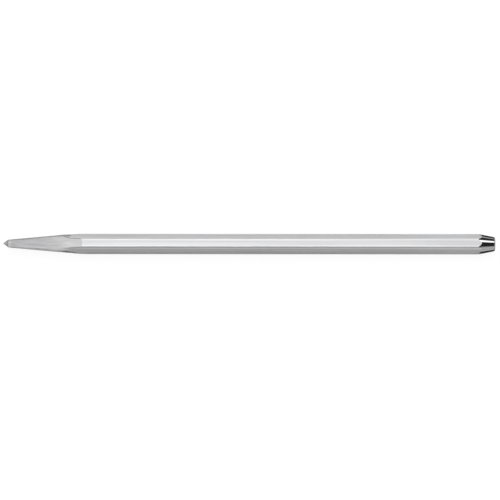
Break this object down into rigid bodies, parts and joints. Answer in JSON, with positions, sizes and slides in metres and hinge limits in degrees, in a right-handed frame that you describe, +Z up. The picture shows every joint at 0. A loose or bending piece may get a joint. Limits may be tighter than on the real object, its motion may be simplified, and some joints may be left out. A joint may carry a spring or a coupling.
{
  "type": "electrician's chisel",
  "caption": "Slender octagonal steel chisel for cutting narrow channels in masonry: square forged taper ground to a narrow edge, satin shank, polished coned head with a crowned striking face.",
  "frame": {"origin": "below the middle of the length, on the plane of the flat that the tool lies on", "axes": "+X runs along the tool from the cutting edge to the striking face; +Z is up, away from the flat that it lies on; the cutting edge stands along Z"},
  "size_m": [0.25, 0.01, 0.01],
  "materials": {
    "ground_edge": "freshly ground, bare",
    "forged_blade": "matt, fine lengthwise grinding lines",
    "satin_bar": "satin plated",
    "polished_head": "turned and polished"
  },
  "bodies": {
    "root": {"cutting_point": "ground_edge", "blade": "forged_blade", "shoulder": "forged_blade", "shank": "satin_bar", "head": "polished_head", "striking_face": "polished_head"}
  },
  "joints": []
}
